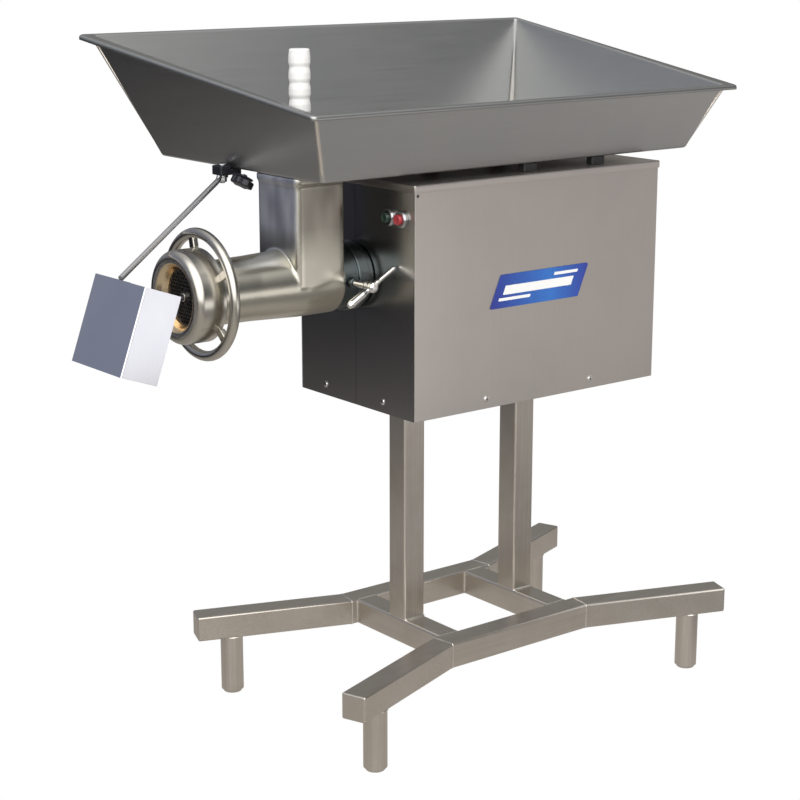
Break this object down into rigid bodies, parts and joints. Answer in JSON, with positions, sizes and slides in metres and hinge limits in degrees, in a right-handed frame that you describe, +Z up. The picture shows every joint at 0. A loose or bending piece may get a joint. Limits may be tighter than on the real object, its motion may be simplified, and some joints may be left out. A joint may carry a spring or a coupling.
{
  "type": "electric meat grinder",
  "caption": "Floor-standing electric meat grinder: stainless cabinet on a tubular stand, front grinding head, wide feed pan and swing-away outlet guard.",
  "frame": {"origin": "on the floor, under the middle of the outer box", "axes": "+Z up; -Y is the front, where the meat comes out; +X is the operator side with the badge"},
  "size_m": [0.6914, 1.2236, 1.1626],
  "materials": {
    "stand_stainless": "brushed square tube, satin, with welded joints",
    "panel_stainless": "fine brushed stainless sheet",
    "pan_stainless": "brushed stainless sheet, welded corners",
    "cast_stainless": "polished cast stainless",
    "bright_steel": "bright",
    "plain_steel": "machined",
    "plate_steel": "dark hardened plate with small holes",
    "gearbox_iron": "painted casting",
    "motor_paint": "satin enamel",
    "black_plastic": "matt moulded",
    "red_button": "gloss",
    "green_button": "gloss, very dark green",
    "white_plastic": "food-grade plastic, satin",
    "badge_plate": "plain printed plate, no lettering"
  },
  "bodies": {
    "frame": {"rail_right": "stand_stainless", "rail_left": "stand_stainless", "cross_tube_front": "stand_stainless", "cross_tube_rear": "stand_stainless", "post_front": "stand_stainless", "post_rear": "stand_stainless", "foot_front_right": "stand_stainless", "foot_front_left": "stand_stainless", "foot_rear_right": "stand_stainless", "foot_rear_left": "stand_stainless", "front_panel_right": "panel_stainless", "front_panel_left": "panel_stainless", "side_panel_right": "panel_stainless", "side_panel_left": "panel_stainless", "rear_panel": "panel_stainless", "lid": "panel_stainless", "head_housing": "cast_stainless", "adapter_collar": "cast_stainless", "start_bezel": "bright_steel", "stop_bezel": "bright_steel", "output_bearing_front": "bright_steel", "output_bearing_rear": "bright_steel", "intermediate_bearing_front": "bright_steel", "intermediate_bearing_rear": "bright_steel", "base_tray": "plain_steel", "motor_saddle": "plain_steel", "hole_plate": "plate_steel", "gearbox_case": "gearbox_iron", "gearbox_cover": "gearbox_iron", "motor_shell": "motor_paint", "motor_fan_cover": "motor_paint", "cable_gland": "black_plastic", "switch_block": "black_plastic", "motor_starter": "black_plastic", "pan_spacer_front_right": "black_plastic", "pan_spacer_front_left": "black_plastic", "pan_spacer_rear_right": "black_plastic", "pan_spacer_rear_left": "black_plastic", "badge": "badge_plate"},
    "worm": {"worm": "cast_stainless", "knife": "plain_steel", "output_shaft": "plain_steel", "output_gear": "plain_steel"},
    "intermediate": {"intermediate_shaft": "plain_steel", "intermediate_gear": "plain_steel"},
    "rotor": {"motor_rotor": "plain_steel", "motor_fan": "black_plastic"},
    "ring_nut": {"ring_nut": "cast_stainless", "handwheel": "cast_stainless"},
    "clamp": {"clamp_screw": "bright_steel", "tommy_bar": "bright_steel"},
    "pan": {"feed_pan": "pan_stainless", "guard_block": "black_plastic", "guard_bolt": "bright_steel"},
    "guard": {"guard_rod": "plain_steel", "guard_plate": "pan_stainless"},
    "knob": {"guard_knob": "black_plastic"},
    "start_button": {"start_cap": "green_button"},
    "stop_button": {"stop_cap": "red_button"},
    "stomper": {"stomper": "white_plastic"}
  },
  "joints": [
    {"name": "worm_spin", "type": "hinge", "parent": "frame", "child": "worm", "pos_m": [0.08972, -0.32357, 0.7785], "axis": [0, 1, 0], "continuous": true},
    {"name": "intermediate_spin", "type": "hinge", "parent": "frame", "child": "intermediate", "pos_m": [0.02772, -0.06857, 0.67111], "axis": [0, 1, 0], "continuous": true},
    {"name": "motor_spin", "type": "hinge", "parent": "frame", "child": "rotor", "pos_m": [0.11636, 0.07643, 0.65551], "axis": [0, 1, 0], "continuous": true},
    {"name": "ring_nut_turn", "type": "hinge", "parent": "frame", "child": "ring_nut", "pos_m": [0.08972, -0.44357, 0.7785], "axis": [0, 1, 0], "continuous": true},
    {"name": "clamp_turn", "type": "hinge", "parent": "frame", "child": "clamp", "pos_m": [0.19973, -0.17357, 0.7775], "axis": [1, 0, 0], "range_deg": [0, 110]},
    {"name": "pan_lift", "type": "slide", "parent": "frame", "child": "pan", "axis": [0, 0, 1], "range_m": [0, 0.2]},
    {"name": "guard_swing", "type": "hinge", "parent": "pan", "child": "guard", "pos_m": [-0.03227, -0.30257, 0.942], "axis": [0, 0, 1], "range_deg": [-100, 0]},
    {"name": "knob_turn", "type": "hinge", "parent": "pan", "child": "knob", "pos_m": [0.00573, -0.28957, 0.935], "axis": [0, 0.5, 0.866], "continuous": true},
    {"name": "start_press", "type": "slide", "parent": "frame", "child": "start_button", "axis": [0, 1, 0], "range_m": [0, 0.004], "stiffness_N_per_m": 600, "springref_m": -0.003},
    {"name": "stop_press", "type": "slide", "parent": "frame", "child": "stop_button", "axis": [0, 1, 0], "range_m": [0, 0.004], "stiffness_N_per_m": 600, "springref_m": -0.003},
    {"name": "stomper_lift", "type": "slide", "parent": "frame", "child": "stomper", "axis": [0, 0, 1], "range_m": [0, 0.32]}
  ],
  "couplings": [
    {"joint": "intermediate_spin", "follows": "worm_spin", "ratio": -2.875},
    {"joint": "motor_spin", "follows": "worm_spin", "ratio": 8.625}
  ]
}
